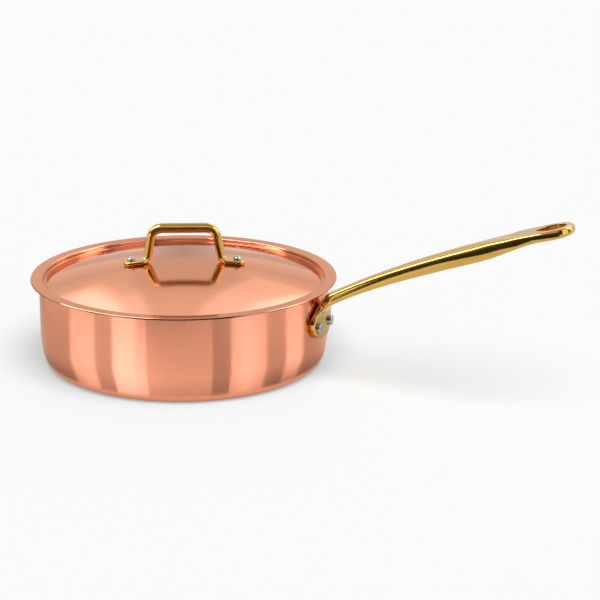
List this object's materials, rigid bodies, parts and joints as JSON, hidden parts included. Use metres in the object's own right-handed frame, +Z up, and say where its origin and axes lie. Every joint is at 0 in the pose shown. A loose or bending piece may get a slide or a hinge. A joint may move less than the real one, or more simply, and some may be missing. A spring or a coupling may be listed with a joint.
{
  "type": "lidded saucepan",
  "caption": "Low round copper saucepan with a long sloping brass handle riveted to its wall and a domed drop-in lid with a bent brass bar handle.",
  "frame": {"origin": "centre of the flat underside of the pan, on the pan's axis", "axes": "+Z up along the pan's axis, +X along the long handle, +Y to the left of the handle"},
  "size_m": [0.457, 0.2578, 0.149],
  "materials": {
    "copper": "copper sheet, brushed around the wall, then polished",
    "lid_copper": "copper sheet, brushed in rings around the lid, then polished",
    "lining_steel": "bonded stainless lining, brushed in rings",
    "brass": "cast brass, polished",
    "rod_brass": "drawn brass rod, polished",
    "rivet_steel": "stainless rivet heads, lightly polished"
  },
  "bodies": {
    "pan": {"pan_shell": "copper", "pan_lining": "lining_steel", "pan_handle": "brass", "pan_rivet_left": "rivet_steel", "pan_rivet_right": "rivet_steel"},
    "lid": {"lid_shell": "lid_copper", "lid_lining": "lining_steel", "lid_handle": "rod_brass", "lid_rivet_left": "rivet_steel", "lid_rivet_right": "rivet_steel"}
  },
  "joints": [
    {"name": "lid_lift", "type": "slide", "parent": "pan", "child": "lid", "axis": [0, 0, 1], "range_m": [0, 0.12]}
  ]
}
